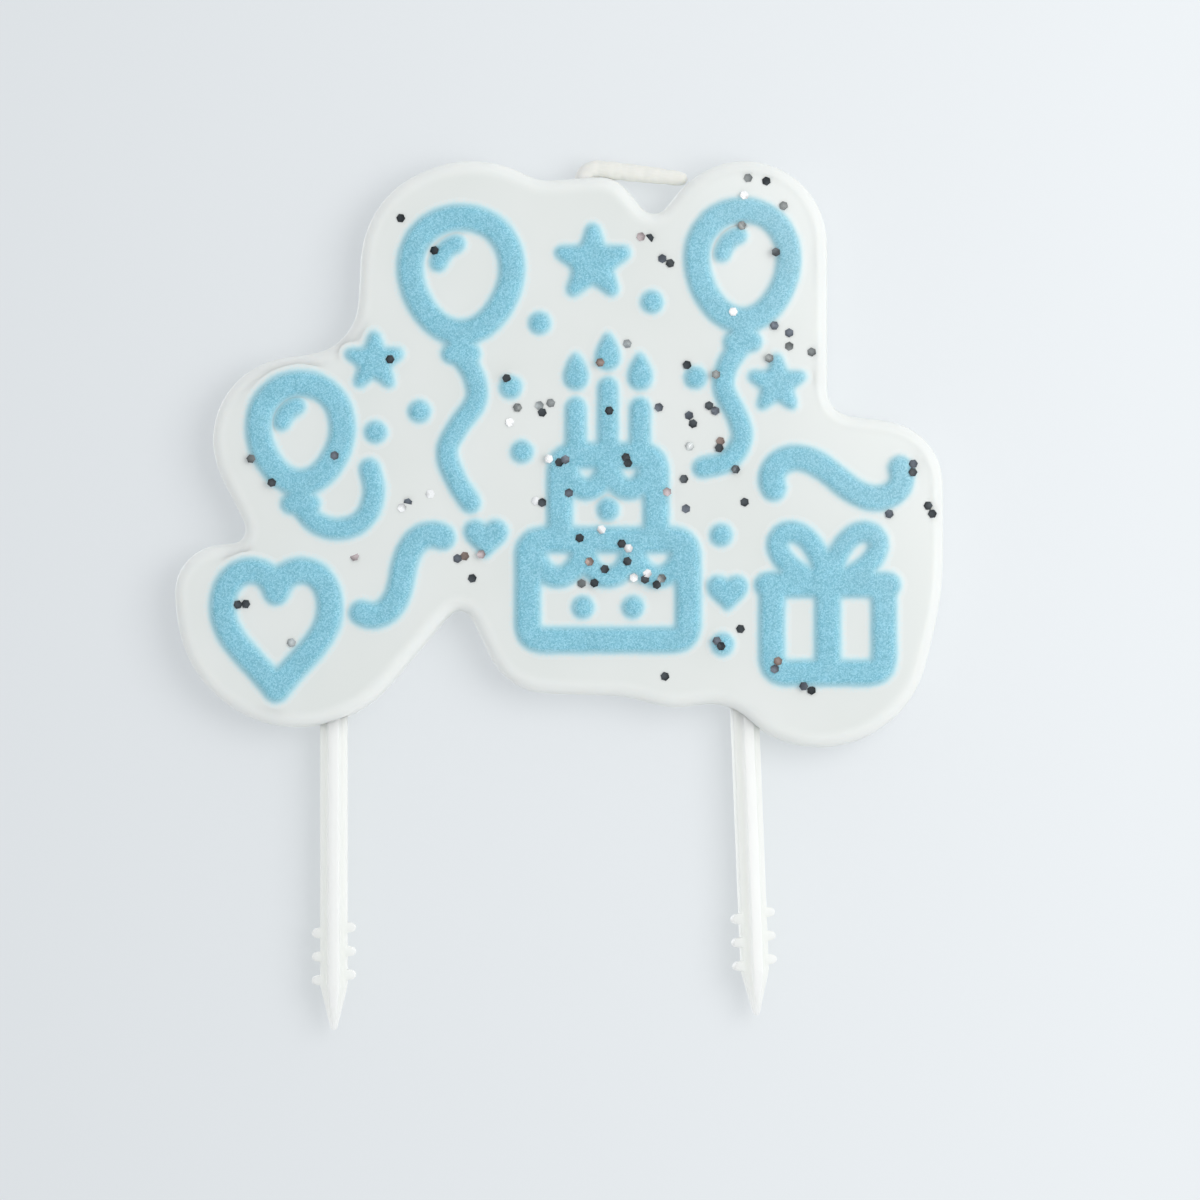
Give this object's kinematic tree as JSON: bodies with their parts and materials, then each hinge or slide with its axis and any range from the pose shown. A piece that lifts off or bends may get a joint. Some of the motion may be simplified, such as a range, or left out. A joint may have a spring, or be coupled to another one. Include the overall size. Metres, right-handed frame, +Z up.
{
  "type": "candle cake topper",
  "caption": "Cloud-shaped wax plaque with a raised celebration design and a bent wick, held upright on a cake by barbed plastic picks.",
  "frame": {"origin": "midway between the picks, at the plaque's lowest point and in the middle of its thickness, on the surface of the cake", "axes": "+Z up along the left pick, +X to the right of the decorated face, -Y out of the decorated face"},
  "size_m": [0.0962, 0.0068, 0.109],
  "materials": {
    "white_wax": "satin pearl-white paraffin wax, cast",
    "blue_wax": "satin light blue wax with a fine pearl grain",
    "white_plastic": "semi-gloss moulded white polystyrene",
    "waxed_cotton": "braided cotton soaked in wax"
  },
  "bodies": {
    "root": {"pick_left": "white_plastic", "pick_right": "white_plastic", "relief_balloon_left": "blue_wax", "relief_balloon_left_shine": "blue_wax", "relief_balloon_right": "blue_wax", "relief_balloon_right_shine": "blue_wax", "relief_balloon_top": "blue_wax", "relief_balloon_top_shine": "blue_wax", "relief_cake": "blue_wax", "relief_confetti_1": "blue_wax", "relief_confetti_2": "blue_wax", "relief_confetti_3": "blue_wax", "relief_confetti_4": "blue_wax", "relief_confetti_5": "blue_wax", "relief_confetti_6": "blue_wax", "relief_confetti_7": "blue_wax", "relief_confetti_8": "blue_wax", "relief_confetti_9": "blue_wax", "relief_flame_left": "blue_wax", "relief_flame_middle": "blue_wax", "relief_flame_right": "blue_wax", "relief_heart": "blue_wax", "relief_icing_dot_1": "blue_wax", "relief_icing_dot_2": "blue_wax", "relief_icing_dot_3": "blue_wax", "relief_present": "blue_wax", "relief_scroll_left": "blue_wax", "relief_scroll_right": "blue_wax", "relief_small_heart_left": "blue_wax", "relief_small_heart_right": "blue_wax", "relief_star_left": "blue_wax", "relief_star_right": "blue_wax", "relief_star_top": "blue_wax", "wax_plaque": "white_wax", "wick": "waxed_cotton"}
  },
  "joints": []
}
